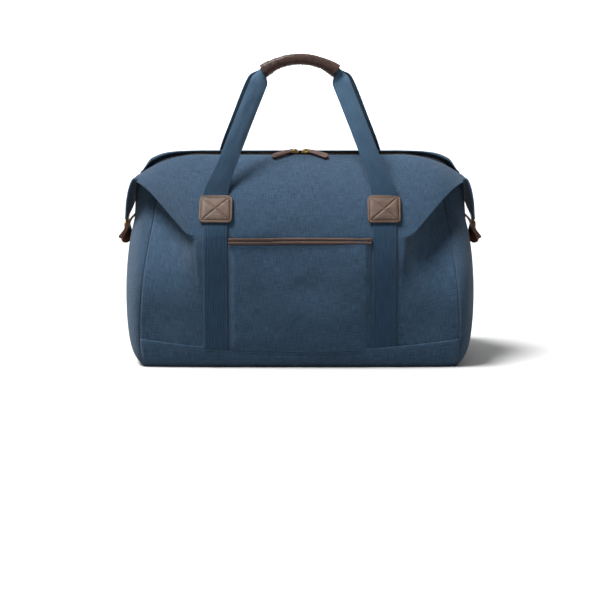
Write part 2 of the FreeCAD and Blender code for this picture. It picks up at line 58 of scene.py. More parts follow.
# one wrapped socket, so that shader maths reads as maths
class Flow:
    def __init__(self, tree, out=None):
        self.tree = tree
        self.out = out

    def node(self, kind, settings=None, inputs=None, out=0):
        made = self.tree.nodes.new(kind)
        for key, value in (settings or {}).items():
            setattr(made, key, value)
        for key, value in (inputs or {}).items():
            if isinstance(value, Flow):
                self.tree.links.new(value.out, made.inputs[key])
            else:
                made.inputs[key].default_value = value
        return Flow(self.tree, made.outputs[out])

    def maths(self, operation, first, second=0.0):
        return self.node("ShaderNodeMath", {"operation": operation}, {0: first, 1: second, 2: 0.0})

    def __add__(self, other):
        return self.maths("ADD", self, other)

    def __radd__(self, other):
        return self.maths("ADD", other, self)

    def __sub__(self, other):
        return self.maths("SUBTRACT", self, other)

    def __rsub__(self, other):
        return self.maths("SUBTRACT", other, self)

    def __mul__(self, other):
        return self.maths("MULTIPLY", self, other)

    def __rmul__(self, other):
        return self.maths("MULTIPLY", other, self)

    def wave(self):
        return self.maths("SINE", self)

    def clamp(self):
        return self.node("ShaderNodeClamp", None, {0: self})

    def mixColour(self, first, second):
        settings = {"data_type": "RGBA"}
        return self.node("ShaderNodeMix", settings, {0: self, 6: first, 7: second}, out=2)

    def noise(self, where, scale, detail=3.0, roughness=0.55):
        inputs = {"Vector": where, "Scale": scale, "Detail": detail, "Roughness": roughness}
        return self.node("ShaderNodeTexNoise", None, inputs)

    def stretched(self, where, scale):
        return self.node("ShaderNodeMapping", None, {0: where, 3: scale})

    def objectSpace(self):
        return self.node("ShaderNodeTexCoord", out=3)

    def clothSpace(self):
        return self.node("ShaderNodeUVMap", {"uv_map": "cloth"})

    def split(self, where):
        made = self.tree.nodes.new("ShaderNodeSeparateXYZ")
        self.tree.links.new(where.out, made.inputs[0])
        return [Flow(self.tree, out) for out in made.outputs]


def newMaterial(name, roughness, metallic=0.0, sheen=0.0, coat=0.0, shine=0.5):
    material = bpy.data.materials.new(name)
    material.use_nodes = True
    tree = material.node_tree
    tree.nodes.clear()
    shader = tree.nodes.new("ShaderNodeBsdfPrincipled")
    ending = tree.nodes.new("ShaderNodeOutputMaterial")
    tree.links.new(shader.outputs[0], ending.inputs[0])
    shader.inputs["Roughness"].default_value = roughness
    shader.inputs["Metallic"].default_value = metallic
    shader.inputs["Sheen Weight"].default_value = sheen
    shader.inputs["Coat Weight"].default_value = coat
    shader.inputs["Specular IOR Level"].default_value = shine
    return material, Flow(tree), shader


def connect(value, shader, socket):
    value.tree.links.new(value.out, shader.inputs[socket])


def connectBump(height, shader, distance, strength=0.8):
    inputs = {"Strength": strength, "Distance": distance, "Height": height}
    connect(height.node("ShaderNodeBump", None, inputs), shader, "Normal")


def tone(hexColour, gain=1.0):
    parts = [int(hexColour[i:i + 2], 16) / 255 for i in (0, 2, 4)]
    parts = [part / 12.92 if part <= 0.04045 else ((part + 0.055) / 1.055) ** 2.4 for part in parts]
    return (*[min(1.0, part * gain) for part in parts], 1)


canvasLook = {"navy": "213a50", "worn": "3c556b", "deep": "162a3d", "threadPitch": 0.0011, "slubLength": 60,
              "slubWidth": 900, "cloudScale": 9.0, "patchScale": 38.0, "roughness": 0.84, "bump": 0.000484}


def makeCanvas(name):
    look = canvasLook
    material, flow, shader = newMaterial(name, roughness=0.92, sheen=0.08, shine=0.10)
    shader.inputs["Sheen Roughness"].default_value = 0.6
    uv = flow.clothSpace()
    across, along = flow.split(uv)[:2]
    turn = 2 * pi / look["threadPitch"]
    weave = (across * turn).wave() * (along * turn).wave()
    slubAcross = flow.noise(flow.stretched(uv, (look["slubLength"], look["slubWidth"], 1)), 1.0, 2.0)
    slubAlong = flow.noise(flow.stretched(uv, (look["slubWidth"], look["slubLength"], 1)), 1.0, 2.0)
    cloudy = flow.noise(uv, look["cloudScale"], 4.0, 0.6)
    patchy = flow.noise(uv, look["patchScale"], 4.0, 0.65)
    wash = (cloudy * 0.9 + patchy * 0.7 - 0.35).clamp()
    base = wash.mixColour(tone(look["deep"]), tone(look["navy"]))
    slub = ((slubAcross + slubAlong - 0.78) * 1.6).clamp()
    worn = (slub * 0.75 + weave * 0.08).clamp()
    connect(worn.mixColour(base, tone(look["worn"])), shader, "Base Color")
    connect(cloudy * 0.1 + look["roughness"], shader, "Roughness")
    height = weave * 0.5 + slubAcross * 0.9 + slubAlong * 0.9 + patchy * 2.2
    connectBump(height, shader, look["bump"], 0.9)
    return material


webbingLook = {"navy": "1b3348", "light": "3c556b", "deep": "12273a", "ribPitch": 0.0016, "cordPitch": 0.0024,
               "bump": 0.0004}


def makeWebbing(name, paintedLightPerMetre=0.0):
    # the second argument is how much paler the webbing is painted per metre along it: a painted highlight for
    # the light falling on a handle strap's upper part, which leans back near the grip
    look = webbingLook
    material, flow, shader = newMaterial(name, roughness=0.88, sheen=0.08, shine=0.10)
    uv = flow.clothSpace()
    across, along = flow.split(uv)[:2]
    ribTurn, cordTurn = 2 * pi / look["ribPitch"], 2 * pi / look["cordPitch"]
    ribs = (along * ribTurn).wave()
    cords = (across * cordTurn).wave()
    twill = (across * cordTurn + along * ribTurn).wave()
    slub = flow.noise(flow.stretched(uv, (700, 40, 1)), 1.0, 2.0)
    cloudy = flow.noise(uv, 22.0, 3.0)
    base = (cloudy * 1.6 - 0.3).clamp().mixColour(tone(look["deep"]), tone(look["navy"]))
    # the mix to the light tone is slub wear, plus the painted highlight along the strap when the second
    # argument is set
    worn = (slub * 0.45 - 0.08 + twill * 0.10 + cords * 0.05 + along * paintedLightPerMetre).clamp()
    connect(worn.mixColour(base, tone(look["light"])), shader, "Base Color")
    connectBump(ribs * 0.4 + cords * 0.7 + twill * 0.6 + slub, shader, look["bump"], 0.9)
    return material


leatherLook = {"poreScale": 620.0, "fineScale": 900.0, "blotchScale": 60.0, "poreShade": 0.7}


def makeLeather(name, dark, light, roughness, grain=0.0003, coat=0.0):
    look = leatherLook
    material, flow, shader = newMaterial(name, roughness=roughness, coat=coat, shine=0.30)
    shader.inputs["Coat Roughness"].default_value = 0.35
    where = flow.objectSpace()
    inputs = {"Vector": where, "Scale": look["poreScale"]}
    cells = flow.node("ShaderNodeTexVoronoi", {"feature": "DISTANCE_TO_EDGE"}, inputs)
    fine = flow.noise(where, look["fineScale"], 3.0)
    blotch = flow.noise(where, look["blotchScale"], 4.0, 0.6)
    pores = (cells * 7.0).clamp()
    colour = (blotch * 1.9 - 0.45).clamp().mixColour(tone(dark), tone(light))
    colour = (pores * 0.55 + 0.45).mixColour(tone(dark, look["poreShade"]), colour)
    connect(colour, shader, "Base Color")
    connect(blotch * 0.25 + (roughness - 0.12), shader, "Roughness")
    connectBump(pores * 0.7 + fine * 0.3 + blotch * 0.8, shader, grain)
    return material


def makeBrass(name, dark, light):
    material, flow, shader = newMaterial(name, roughness=0.34, metallic=1.0)
    where = flow.objectSpace()
    patina = flow.noise(where, 260.0, 4.0, 0.6)
    scratches = flow.noise(flow.stretched(where, (2500, 300, 300)), 1.0, 2.0)
    connect((patina * 2.0 - 0.5).clamp().mixColour(tone(dark), tone(light)), shader, "Base Color")
    connect(patina * 0.3 + 0.2, shader, "Roughness")
    connectBump(scratches, shader, 0.00006, 0.7)
    return material


def makeThread(name, colour):
    material, flow, shader = newMaterial(name, roughness=0.8, sheen=0.1, shine=0.2)
    twist = flow.noise(flow.objectSpace(), 1800.0, 2.0)
    connect(twist.mixColour(tone(colour, 0.75), tone(colour, 1.2)), shader, "Base Color")
    connectBump(twist, shader, 0.0001)
    return material


tapeLook = {"cordPitch": 0.0012, "rowPitch": 0.001, "fuzzScale": 700.0, "bump": 0.0002}


def makeTape(name, dark, light):
    look = tapeLook
    material, flow, shader = newMaterial(name, roughness=0.9, sheen=0.1, shine=0.15)
    where = flow.objectSpace()
    x, y = flow.split(where)[:2]
    rows = (x * (2 * pi / look["cordPitch"])).wave() * (y * (2 * pi / look["rowPitch"])).wave()
    fuzz = flow.noise(where, look["fuzzScale"], 3.0)
    connect((rows * 0.3 + fuzz * 0.8).clamp().mixColour(tone(dark), tone(light)), shader, "Base Color")
    connectBump(rows + fuzz, shader, look["bump"])
    return material


canvas = makeCanvas("washedCanvas")
webbing = makeWebbing("cottonWebbing")
# the handle webbing carries a painted highlight, paler up towards the grip where the strap leans back to the
# light
handleWebbing = makeWebbing("handleWebbing", paintedLightPerMetre=4.5)
patchLeather = makeLeather("patchLeather", "372921", "5f493b", 0.46)
bindingLeather = makeLeather("bindingLeather", "24150e", "452c20", 0.40, coat=0.12)
gripLeather = makeLeather("gripLeather", "100501", "4a2110", 0.42, 0.0008, coat=0.06)
tabLeather = makeLeather("tabLeather", "3a2015", "6a3f28", 0.45, coat=0.1)
pullLeather = makeLeather("pullLeather", "2c170f", "54311f", 0.40, coat=0.15)
brass = makeBrass("antiqueBrass", "4a3617", "a98a4c")
zipMetal = makeBrass("zipMetal", "17140f", "3a3122")
navyThread = makeThread("navyThread", "2f4152")
brownThread = makeThread("brownThread", "4f382c")
zipTape = makeTape("zipTape", "16232f", "2a3d50")
liningCloth = makeTape("liningCloth", "17222d", "2a3a49")
boardPlastic = makeTape("boardPlastic", "1c1c1e", "303034")
navyCore = makeTape("navyCore", "22303f", "33485c")
print("materials made")


def finishPiece(name, mesh, material, body, nodes=()):
    made = bpy.data.objects.new(name, bpy.data.meshes.new(name))
    mesh.to_mesh(made.data)
    mesh.free()
    bpy.context.scene.collection.objects.link(made)
    made.data.materials.append(material)
    for face in made.data.polygons:
        face.use_smooth = True
    if body:
        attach(made, body)
    if nodes:
        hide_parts(*nodes)
    return made


def clothGrid(columns, rows, place, width, length):
    # a grid over 0..1 by 0..1 that takes its shape from place(u, v); the cloth map is in metres
    mesh = bmesh.new()
    bmesh.ops.create_grid(mesh, x_segments=columns, y_segments=rows, size=0.5)
    layer = mesh.loops.layers.uv.new("cloth")
    for face in mesh.faces:
        for loop in face.loops:
            spot = loop.vert.co
            loop[layer].uv = ((spot.x + 0.5) * width, (spot.y + 0.5) * length)
    for vert in mesh.verts:
        vert.co = place(vert.co.x + 0.5, vert.co.y + 0.5)
    return mesh


def plainGrid(columns, rows, place):
    # the same without a cloth map, and u runs from -1 to 1
    mesh = bmesh.new()
    bmesh.ops.create_grid(mesh, x_segments=columns, y_segments=rows, size=0.5)
    for vert in mesh.verts:
        vert.co = place(vert.co.x * 2, vert.co.y + 0.5)
    return mesh


def turnOut(mesh, near, outward):
    # makes all faces agree, and the one nearest to a point look outward
    bmesh.ops.recalc_face_normals(mesh, faces=mesh.faces)
    middle = min(mesh.faces, key=lambda face: (face.calc_center_median() - Vector(near)).length)
    if middle.normal.dot(Vector(outward)) < 0:
        bmesh.ops.reverse_faces(mesh, faces=mesh.faces)


def thicken(piece, thickness, offset=-1.0):
    solid = piece.modifiers.new("thickness", "SOLIDIFY")
    solid.thickness = thickness
    solid.offset = offset
    solid.use_even_offset = False


def roundEdge(piece, width):
    edge = piece.modifiers.new("edge", "BEVEL")
    edge.width = width
    edge.segments = 2
    edge.limit_method = "ANGLE"


def mirrorMesh(mesh, scale):
    bmesh.ops.scale(mesh, vec=scale, verts=mesh.verts)
    bmesh.ops.reverse_faces(mesh, faces=mesh.faces)


def smoothStep(low, high, value):
    t = max(0.0, min(1.0, (value - low) / (high - low)))
    return t * t * (3 - 2 * t)


def along(points, t):
    # a smooth curve through given points, t from 0 to 1 by their spacing
    gaps = [(Vector(b) - Vector(a)).length for a, b in zip(points, points[1:])]
    want = max(0.0, min(1.0, t)) * sum(gaps)
    for index, gap in enumerate(gaps):
        if want <= gap or index == len(gaps) - 1:
            break
        want -= gap
    here = want / gap
    p1, p2 = Vector(points[index]), Vector(points[index + 1])
    p0 = Vector(points[index - 1]) if index else p1 * 2 - p2
    p3 = Vector(points[index + 2]) if index + 2 < len(points) else p2 * 2 - p1
    return 0.5 * (2 * p1 + (p2 - p0) * here + (2 * p0 - 5 * p1 + 4 * p2 - p3) * here ** 2
                  + (3 * p1 - p0 - 3 * p2 + p3) * here ** 3)


def heightCurve(points, z):
    # the value of given (height, value) pairs at a height, with smooth joins
    for index in range(len(points) - 1):
        if z <= points[index + 1][0] or index == len(points) - 2:
            break
    (z1, v1), (z2, v2) = points[index], points[index + 1]
    z0, v0 = points[index - 1] if index else (z1 - (z2 - z1), v1 - (v2 - v1))
    z3, v3 = points[index + 2] if index + 2 < len(points) else (z2 + (z2 - z1), v2 + (v2 - v1))
    t = max(-0.2, min(1.2, (z - z1) / (z2 - z1)))
    m1 = (v2 - v0) / (z2 - z0) * (z2 - z1)
    m2 = (v3 - v1) / (z3 - z1) * (z2 - z1)
    return ((2 * t ** 3 - 3 * t ** 2 + 1) * v1 + (t ** 3 - 2 * t ** 2 + t) * m1
            + (-2 * t ** 3 + 3 * t ** 2) * v2 + (t ** 3 - t ** 2) * m2)


# the soft body: (height, distance) curves and the ridge line, shared by its panels
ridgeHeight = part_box("front_panel")[1].z
bodyShape = {
    "halfDepth": [(0.0, 0.1185), (0.012, 0.1235), (0.06, 0.1265), (0.104, 0.1275), (0.155, 0.1255),
                  (0.20, 0.1185), (0.235, 0.1035), (0.268, 0.0790), (0.295, 0.0500), (0.312, 0.0260),
                  (0.321, 0.0060)],
    "seamHalf": [(0.0, 0.234), (0.02, 0.2395), (0.06, 0.2405), (0.10, 0.2385), (0.15, 0.234),
                 (0.20, 0.2275), (0.24, 0.222), (0.28, 0.219)],
    "bulge": [(0.0, 0.246), (0.012, 0.258), (0.03, 0.2655), (0.06, 0.2700), (0.10, 0.2715), (0.15, 0.2695),
              (0.19, 0.2650), (0.212, 0.2602), (0.226, 0.2590), (0.245, 0.2580), (0.262, 0.2565),
              (0.280, 0.2525)],
    "ridgeStraight": 0.150, "ridgeRound": 0.170, "ridgeEnd": 0.2500, "endTop": 0.283,
    "canvasThickness": 0.0016, "slackStretch": (6.5, 7.0, 7.5), "slackSizes": (0.0042, 0.0020, 0.0007),
    "cornerEase": 0.0045, "tuck": 0.017, "tuckStart": 0.085, "overlap": 0.004, "foldPlace": 0.56,
    "crown": (0.004, 0.006, 0.009)}
# the fold under each top corner, from the front face up to the tip: x, depth, height
foldLine = [(0.1660, 0.1188, 0.1970), (0.1735, 0.1158, 0.2040), (0.1965, 0.0988, 0.2285),
            (0.2285, 0.0700, 0.2605), (0.2553, 0.0455, 0.2782)]
foldHeight, foldReach = foldLine[0][2], foldLine[-1][0]
foldStart = foldLine[0][0] / foldReach
# edges of the two upper panels beside the zip, front and rear
lipShape = {"frontDepth": 0.0058, "frontDrop": 0.0066, "cornerDrop": -0.0026, "rearDepth": 0.0046,
            "rearDrop": 0.0056, "rearSwell": 0.0080, "cornerSwell": 0.0075, "zipDrop": 0.0050}
zipHeight = ridgeHeight - lipShape["zipDrop"]


def halfDepth(z):
    return heightCurve(bodyShape["halfDepth"], z)


def seamHalf(z):
    return heightCurve(bodyShape["seamHalf"], z)


def ridgeAt(x):
    over = max(0.0, abs(x) - bodyShape["ridgeStraight"])
    radius = bodyShape["ridgeRound"]
    return ridgeHeight - radius + sqrt(max(0.0, radius ** 2 - over ** 2))


def slack(x, z, seed):
    # gentle hollows and swells of empty cloth, in metres, faded out at the foot of the face
    stretchX, stretchSeed, stretchZ = bodyShape["slackStretch"]
    spot = Vector((x * stretchX, seed * stretchSeed, z * stretchZ))
    broad, middling, fine = bodyShape["slackSizes"]
    swell = noise.noise(spot) * broad + noise.noise(spot * 2.3) * middling + noise.noise(spot * 5.1) * fine
    return swell * smoothStep(0.0, 0.05, z)


def foldPoint(share):
    # where the fold is, by share from the middle (0) to the seam (1)
    return along(foldLine, (share - foldStart) / (1 - foldStart))


def cornerHeight(share):
    # how high the lower cloth reaches before the fold
    return foldHeight if share <= foldStart else foldPoint(share).z


def lowerFace(share, z, side, seed):
    # a point on the upright part of a face, below the corner folds; depth is positive here
    shape = bodyShape
    depth = halfDepth(z) - shape["cornerEase"] * share ** 5
    if share > foldStart:
        tuck = shape["tuck"] * smoothStep(foldStart, foldStart + (1 - foldStart) * 0.8, share)
        reach = (z - shape["tuckStart"]) / (cornerHeight(share) - shape["tuckStart"])
        depth += (foldPoint(share).y - tuck - depth) * smoothStep(0.0, 1.0, reach) ** 1.4
    depth += slack(side * share * 0.24, z, seed) * (1 - share ** 6)
    across = share * seamHalf(z)
    ease = smoothStep(0.10, 0.19, z) * (1 - smoothStep(foldStart - 0.12, foldStart + 0.12, share))
    across += (share * foldReach - across) * ease
    return Vector((side * across, depth, z))


def lipPoint(share, rear):
    # a point on a panel's edge beside the zip
    x = share * bodyShape["ridgeEnd"]
    if rear:
        return Vector((x, lipShape["rearDepth"], ridgeAt(x) - lipShape["rearDrop"]))
    drop = lipShape["frontDrop"] + lipShape["cornerDrop"] * smoothStep(0.5, 1.0, share)
    return Vector((x, lipShape["frontDepth"], ridgeAt(x) - drop))


def upperFace(share, t, side, seed, rear):
    # a point on the leaning part, from the fold (t 0) to the zip (t 1)
    top = lipPoint(share, rear)
    low = Vector((share * foldReach, halfDepth(foldHeight), foldHeight))
    if share > foldStart:
        low = foldPoint(share)
    middleZ = low.z + (ridgeHeight - low.z) * t
    # the middle of the face follows the side profile, and the corners are flatter sheets
    rounded = Vector((low.x + (top.x - low.x) * t, halfDepth(middleZ), middleZ))
    rounded.z += (top.z - ridgeHeight) * t ** 1.5
    flat = low.lerp(top, t)
    flat += Vector(bodyShape["crown"]) * (4 * t * (1 - t) * (1 - 0.85 * smoothStep(0.82, 1.0, share)))
    weight = smoothStep(0.35, 1.0, share)
    spot = rounded.lerp(flat, weight)
    spot.y += slack(side * spot.x, spot.z, seed) * (1 - t ** 4) * (1 - 0.6 * weight)
    if rear:
        # the rear panel swells up behind the zip, most of all at the corners
        corner = smoothStep(0.62, 0.90, share)
        swell = lipShape["rearSwell"] + lipShape["cornerSwell"] * corner
        swell *= 1 - 0.75 * smoothStep(0.93, 1.0, share)
        spot.z += swell * exp(-((t - 0.965 + 0.065 * corner) / (0.045 + 0.12 * corner)) ** 2)
    spot.x *= side
    return spot


def makeFace(faceName, side):
    seed = 1 if side < 0 else 2

    def place(u, v):
        half = -1 if u < 0.5 else 1
        share = abs(u - 0.5) * 2
        foldPlace = bodyShape["foldPlace"]
        if v <= foldPlace:
            overlap = bodyShape["overlap"] * smoothStep(foldStart, foldStart + 0.12, share)
            spot = lowerFace(share, (cornerHeight(share) + overlap) * (v / foldPlace), half, seed)
        else:
            spot = upperFace(share, (v - foldPlace) / (1 - foldPlace), half, seed, side > 0)
        return Vector((spot.x, -spot.y, spot.z))

    mesh = clothGrid(150, 110, place, 0.50, 0.42)
    turnOut(mesh, (0, -0.127, 0.1), (0, -1, 0))
    if side > 0:
        mirrorMesh(mesh, (1, -1, 1))
    piece = finishPiece(faceName + "PanelCloth", mesh, canvas, "bag", [faceName + "_panel"])
    thicken(piece, bodyShape["canvasThickness"])
    # the bare cloth in a search tree, for what is sewn on to it
    bare = bmesh.new()
    bare.from_mesh(piece.data)
    tree = BVHTree.FromBMesh(bare)
    bare.free()
    return tree


def endSheet(u, v):
    z = bodyShape["endTop"] * v
    depth = lowerFace(1.0, min(z, cornerHeight(1.0)), 1, 0).y
    angle = (u - 0.5) * pi
    seam = seamHalf(z)
    bulge = heightCurve(bodyShape["bulge"], z) + noise.noise(Vector((u * 3.0, 4.0, z * 9.0))) * 0.003
    rounded = cos(angle) ** 0.8 if abs(u - 0.5) < 0.4999 else 0.0
    return Vector((seam + (bulge - seam) * rounded, sin(angle) * depth, z))


def makeEnd(endName, turn):
    mesh = clothGrid(60, 90, endSheet, 0.30, 0.28)
    turnOut(mesh, (0.27, 0, 0.1), (1, 0, 0))
    if turn < 0:
        mirrorMesh(mesh, (-1, 1, 1))
    piece = finishPiece(endName + "EndCloth", mesh, canvas, "bag", [endName + "_end_panel"])
    thicken(piece, bodyShape["canvasThickness"])


faceTrees = {side: makeFace(faceName, side) for faceName, side in faces}
makeEnd("right", 1)
makeEnd("left", -1)
print("panels made")


def onFace(side, x, z, lift):
    # the point of the front (side -1) or rear (side 1) cloth behind x, z, lifted off it
    start = Vector((x, side * 0.5, z))
    spot, normal = faceTrees[side].ray_cast(start, Vector((0, -side, 0)))[:2]
    if spot is None:
        return Vector((x, side * halfDepth(z), z))
    if normal.y * side < 0:
        normal = -normal
    return spot + normal * lift


# base wrap: one piece of canvas under the bag and a little way up both faces
bandShape = {"middle": 0.0270, "end": 0.0440, "half": 0.239, "reach": 0.2405, "lift": 0.0012,
             "floorShare": 0.80, "foot": 0.0008, "arch": 0.0022, "footRound": 0.0035,
             "roundHeight": 0.012, "seamLift": 0.0006}


def bandTop(x):
    shape = bandShape
    return shape["middle"] + (shape["end"] - shape["middle"]) * (abs(x) / shape["half"]) ** 2.1


def baseSheet(u, v):
    # v runs from the rear seam under the bag to the front seam
    shape = bandShape
    share = (u - 0.5) * 2
    side = -1 if v > 0.5 else 1
    reach = abs(v - 0.5) * 2
    foot = shape["foot"]
    if reach > shape["floorShare"]:
        t = (reach - shape["floorShare"]) / (1 - shape["floorShare"])
        z = foot + (bandTop(share * shape["reach"]) - foot) * t
        depth = halfDepth(z) - bodyShape["cornerEase"] * abs(share) ** 5 + shape["lift"]
        depth -= shape["footRound"] * (1 - smoothStep(0.0, shape["roundHeight"], z))
        x = share * (seamHalf(z) + shape["seamLift"])
    else:
        t = reach / shape["floorShare"]
        z = foot + shape["arch"] * (1 - t ** 6) * (1 - abs(share) ** 8)
        depth = t * (halfDepth(foot) + shape["lift"] - shape["footRound"])
        x = share * (seamHalf(foot) + shape["seamLift"])
    return Vector((x, side * depth, z))


def makeBase():
    mesh = clothGrid(90, 120, baseSheet, 0.48, 0.34)
    turnOut(mesh, (0, 0, 0), (0, 0, -1))
    piece = finishPiece("baseWrap", mesh, canvas, "bag", ["base_panel"])
    thicken(piece, bodyShape["canvasThickness"])


makeBase()
print("base made")


strapLow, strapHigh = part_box("front_left_sewn_strap")
strapShape = {"centre": abs(strapLow.x + strapHigh.x) / 2, "width": strapHigh.x - strapLow.x, "top": 0.2530,
              "lift": 0.0020, "thickness": 0.0018, "underBand": 0.002}


def makeSewnStrap(faceName, side, name, turn):
    shape = strapShape
    centre = turn * shape["centre"]
    low = bandTop(centre) - shape["underBand"]

    def place(u, v):
        edge = 1 - abs(u - 0.5) * 2
        lift = shape["lift"] * (0.45 + 0.55 * smoothStep(0.0, 0.10, edge))
        return onFace(side, centre + (u - 0.5) * shape["width"], low + (shape["top"] - low) * v, lift)

    mesh = clothGrid(28, 130, place, shape["width"], shape["top"] - low)
    if side > 0:
        bmesh.ops.reverse_faces(mesh, faces=mesh.faces)
    node = faceName + "_" + name + "_sewn_strap"
    thicken(finishPiece(node + "Webbing", mesh, webbing, "bag", [node]), shape["thickness"])


for faceName, side in faces:
    for name, turn in ends:
        makeSewnStrap(faceName, side, name, turn)
print("sewn straps made")

liningShape = {"scale": (0.966, 0.940, 0.968), "middle": 0.12}


def makeLining():
    # a thin bag inside the canvas, from copies of the panels drawn in towards the middle
    mesh = bmesh.new()
    for source in ("frontPanelCloth", "rearPanelCloth", "rightEndCloth", "leftEndCloth", "baseWrap"):
        mesh.from_mesh(bpy.data.objects[source].data)
    centre = Matrix.Translation((0, 0, -liningShape["middle"]))
    bmesh.ops.scale(mesh, vec=liningShape["scale"], verts=mesh.verts, space=centre)
    finishPiece("liningBag", mesh, liningCloth, "bag", ["lining"])


makeLining()
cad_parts["base_board"].data.materials[0] = boardPlastic


def smallShape(mesh):
    points = [vert.co.copy() for vert in mesh.verts]
    corners = [[vert.index for vert in face.verts] for face in mesh.faces]
    mesh.free()
    return points, corners


def makeBead():
    mesh = bmesh.new()
    bmesh.ops.create_uvsphere(mesh, u_segments=6, v_segments=4, radius=1)
    return smallShape(mesh)


def makeTooth():
    mesh = bmesh.new()
    bmesh.ops.create_cube(mesh, size=1)
    bmesh.ops.bevel(mesh, geom=mesh.edges[:], offset=0.14, segments=1, profile=0.5, material=-1,
                    affect="EDGES")
    return smallShape(mesh)


def finishCopies(name, shape, places, material, body, nodes=()):
    # one mesh of many copies of a small shape, each set down by its own matrix
    points, corners = shape
    data = bpy.data.meshes.new(name)
    allPoints = [place @ point for place in places for point in points]
    starts = [copy * len(points) for copy in range(len(places))]
    allFaces = [[start + index for index in face] for start in starts for face in corners]
    data.from_pydata(allPoints, [], allFaces)
    mesh = bmesh.new()
    mesh.from_mesh(data)
    bpy.data.meshes.remove(data)
    bmesh.ops.recalc_face_normals(mesh, faces=mesh.faces)
    finishPiece(name, mesh, material, body, nodes)


bead = makeBead()
tooth = makeTooth()
threadShape = {"thickness": 0.0007, "flatness": 0.42, "fill": 0.72}


def stitchRow(points, normals, pitch, thickness):
    # even stitches along a run of points, each a bead laid along it
    gaps = [(b - a).length for a, b in zip(points, points[1:])]
    count = max(1, int(sum(gaps) / pitch))
    step = sum(gaps) / count
    size = (step * threadShape["fill"] / 2, thickness / 2, thickness * threadShape["flatness"], 1)
    index, walked = 0, 0.0
    places = []
    for number in range(count):
        want = (number + 0.5) * step
        while index < len(gaps) - 1 and walked + gaps[index] < want:
            walked += gaps[index]
            index += 1
        spot = points[index].lerp(points[index + 1], (want - walked) / max(gaps[index], 1e-9))
        direction = (points[index + 1] - points[index]).normalized()
        across = normals[index].cross(direction).normalized()
        turn = Matrix((direction, across, direction.cross(across).normalized())).transposed().to_4x4()
        places.append(Matrix.Translation(spot) @ turn @ Matrix.Diagonal(size))
    return places


def faceStitch(side, path, lift, pitch=0.0032, steps=40):
    # a row over the front or rear cloth along (x, z) points
    spots = [along([(x, z, 0) for x, z in path], n / steps) for n in range(steps + 1)]
    points = [onFace(side, spot.x, spot.y, lift) for spot in spots]
    normals = []
    for spot, point in zip(spots, points):
        off = onFace(side, spot.x, spot.y, lift + 0.01) - point
        normals.append(off.normalized() if off.length > 1e-6 else Vector((0, side, 0)))
    return stitchRow(points, normals, pitch, threadShape["thickness"])


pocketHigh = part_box("slip_pocket")[1]
trimLow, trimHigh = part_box("pocket_trim")
pocketShape = {"half": pocketHigh.x + 0.0006, "top": pocketHigh.z, "lift": 0.0020, "fullness": 0.0022,
               "puff": 0.0016, "clothThickness": 0.0015, "trimLow": trimLow.z, "trimHigh": trimHigh.z,
               "weltHeight": 0.0019, "weltLift": 0.00339, "weltThickness": 0.0016}


def makePocket():
    shape = pocketShape

    def place(u, v):
        x = (u - 0.5) * 2 * shape["half"]
        low = bandTop(x) - strapShape["underBand"]
        z = low + (shape["top"] - low) * v
        edge = smoothStep(0, 0.10, 1 - abs(u - 0.5) * 2)
        lift = shape["lift"] * (0.45 + 0.55 * edge)
        lift += shape["fullness"] * edge * smoothStep(0, 0.15, v) * (0.6 + 0.4 * v)
        lift += noise.noise(Vector((x * 9, 5.0, z * 9))) * shape["puff"] * edge
        return onFace(-1, x, z, lift)

    mesh = clothGrid(110, 80, place, shape["half"] * 2, shape["top"])
    piece = finishPiece("slipPocketCloth", mesh, canvas, "bag", ["slip_pocket"])
    thicken(piece, shape["clothThickness"])


def makePocketTrim():
    # two rolled leather welts with the pocket's mouth between them
    shape = pocketShape
    height = shape["trimHigh"] - shape["trimLow"]

    def place(u, v):
        roll = abs(sin(v * 2 * pi)) ** 0.6 if 0 < v < 1 else 0.0
        lift = shape["weltLift"] + shape["weltHeight"] * roll
        return onFace(-1, (u - 0.5) * 2 * shape["half"], shape["trimLow"] + height * v, lift)

    mesh = clothGrid(110, 28, place, shape["half"] * 2, height)
    piece = finishPiece("pocketWelts", mesh, bindingLeather, "bag", ["pocket_trim"])
    thicken(piece, shape["weltThickness"])


makePocket()
makePocketTrim()
print("pocket made")

# the leather patches over the webbing; inset is from the edge to the stitch line
patchLow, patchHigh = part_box("front_left_patch")
patchShape = {"half": (patchHigh.x - patchLow.x) / 2, "tall": (patchHigh.z - patchLow.z) / 2,
              "middle": (patchHigh.z + patchLow.z) / 2, "low": patchLow.z, "corner": 0.0085, "lift": 0.0054,
              "inset": 0.0032, "groove": 0.0011, "grooveWidth": 0.0011, "pillow": 0.0012, "edgeRound": 0.0009,
              "threadCorner": 0.004, "thickness": 0.0022}


def cornerRounded(a, b, corner):
    # pulls the corners of a 1 by 1 half-size plate in to a round
    outA, outB = (abs(a) - (1 - corner[0])) / corner[0], (abs(b) - (1 - corner[1])) / corner[1]
    if outA <= 0 or outB <= 0:
        return a, b
    newA = (1 - corner[0]) + outA * sqrt(1 - outB ** 2 / 2) * corner[0]
    newB = (1 - corner[1]) + outB * sqrt(1 - outA ** 2 / 2) * corner[1]
    return (newA if a > 0 else -newA), (newB if b > 0 else -newB)


def patchGroove(a, b):
    # how much the stitch lines pull the leather in, at a, b from -1 to 1
    shape = patchShape
    inX, inZ = shape["half"] * (1 - abs(a)), shape["tall"] * (1 - abs(b))
    border = min(abs(inX - shape["inset"]), abs(inZ - shape["inset"]))
    if min(inX, inZ) < shape["inset"] - 0.0015:
        border = 1.0
    cross = min(abs(a - b), abs(a + b)) * shape["half"] * 0.6
    if min(inX, inZ) < shape["inset"]:
        cross = 1.0
    return exp(-(min(border, cross) / shape["grooveWidth"]) ** 2)


